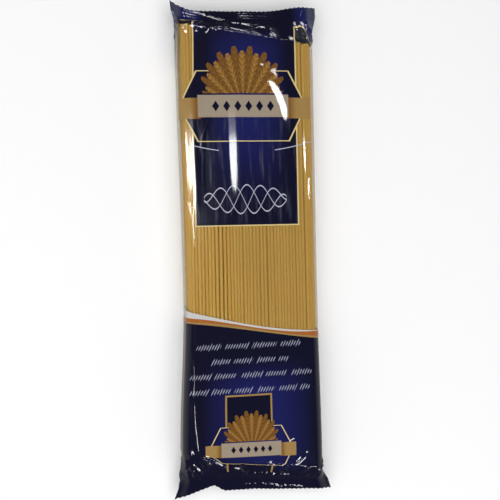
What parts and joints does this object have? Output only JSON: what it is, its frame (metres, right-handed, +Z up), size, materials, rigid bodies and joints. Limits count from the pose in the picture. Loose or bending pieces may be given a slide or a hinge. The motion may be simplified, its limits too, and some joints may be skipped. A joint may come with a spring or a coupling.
{
  "type": "pack of dry spaghetti",
  "caption": "Sealed clear film bag with printed dark fields, holding a tight bundle of long dry pasta strands between flat end seals; it keeps dry pasta and lies on its back.",
  "frame": {"origin": "centre of the whole pack's box in X and Y, at the height of the surface it lies on", "axes": "+Z up, out of the printed front; +Y along the strands to the top of the pack; +X to the right seen from above"},
  "size_m": [0.096, 0.2956, 0.0244],
  "materials": {
    "printed_film": "glossy clear film printed in dark blue with thin gold, orange and white lines",
    "dry_pasta": "smooth, faintly waxy dried durum pasta, golden and slightly see-through"
  },
  "bodies": {
    "root": {"spaghetti_pack": "printed_film"}
  },
  "joints": []
}
